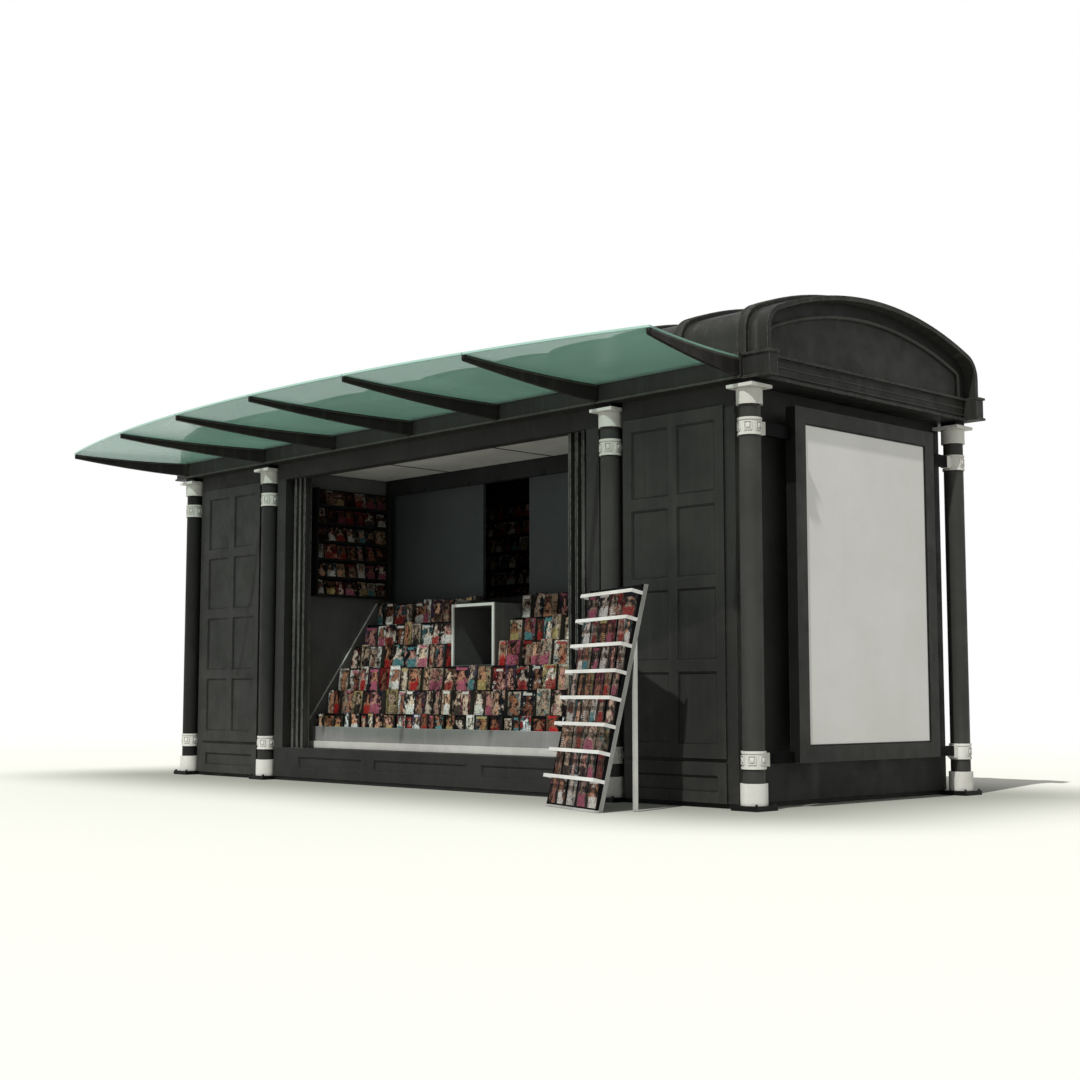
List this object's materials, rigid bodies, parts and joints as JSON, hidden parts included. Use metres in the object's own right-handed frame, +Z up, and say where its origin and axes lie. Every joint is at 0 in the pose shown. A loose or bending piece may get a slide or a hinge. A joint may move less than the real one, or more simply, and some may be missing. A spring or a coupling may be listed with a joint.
{
  "type": "street kiosk",
  "caption": "Newsstand kiosk: panelled metal hut between round columns, barrel roof, bowed green glass canopy, open display front, poster panels on the ends and a free-standing rack.",
  "frame": {"origin": "on the ground, under the middle of the whole outline", "axes": "+X along the kiosk towards the end seen in the picture, -Y out of the sales front, +Z up"},
  "size_m": [6.276, 3.635, 3.051],
  "materials": {
    "dark_paint": "weathered charcoal paint on sheet steel, satin, streaked and scuffed at the edges",
    "light_paint": "worn pale grey paint on cast collars",
    "green_glass": "sea-green frosted safety glass",
    "poster_white": "bare pale grey poster sheet behind a clear cover, slightly soiled",
    "ceiling_panel": "pale grey ceiling panels",
    "screen_panel": "blue-grey ribbed screens",
    "display_grey": "grey painted display boards",
    "white_trim": "white painted trim and shelves, chipped at the edges",
    "stand_metal": "grey painted square tube",
    "magazine_paper": null
  },
  "bodies": {
    "root": {"stand_back": "dark_paint", "column_base_plates": "dark_paint", "column_shafts": "dark_paint", "column_necks": "dark_paint", "base_slab": "dark_paint", "left_wing_wall": "dark_paint", "right_wing_wall": "dark_paint", "back_wing_walls": "dark_paint", "back_centre_wall": "dark_paint", "left_end_wall": "dark_paint", "right_end_wall": "dark_paint", "column_backing_posts": "dark_paint", "opening_sill": "dark_paint", "opening_jambs": "dark_paint", "shutter_tracks": "dark_paint", "opening_lintel": "dark_paint", "front_fascia": "dark_paint", "back_fascia": "dark_paint", "eave_corner_blocks": "dark_paint", "end_cornices": "dark_paint", "roof_shell": "dark_paint", "gable_panels": "dark_paint", "canopy_brackets": "dark_paint", "poster_frames": "dark_paint", "poster_arms": "dark_paint", "booth_side_walls": "dark_paint", "screen_header": "dark_paint", "booth_side_racks": "dark_paint", "rear_rack": "dark_paint", "column_bases": "light_paint", "column_lower_bands": "light_paint", "column_upper_bands": "light_paint", "column_capitals": "light_paint", "column_cap_plates": "light_paint", "canopy_glass": "green_glass", "poster_sheets": "poster_white", "booth_ceiling": "ceiling_panel", "booth_screens": "screen_panel", "display_boards": "display_grey", "display_front": "display_grey", "display_top_shelf": "display_grey", "display_deck": "display_grey", "display_ledges": "display_grey", "hatch_box": "display_grey", "display_base_trim": "white_trim", "display_cheeks": "white_trim", "hatch_frame": "white_trim", "stand_bars": "white_trim", "stand_tray": "white_trim", "stand_rails": "stand_metal", "stand_legs": "stand_metal"}
  },
  "joints": []
}
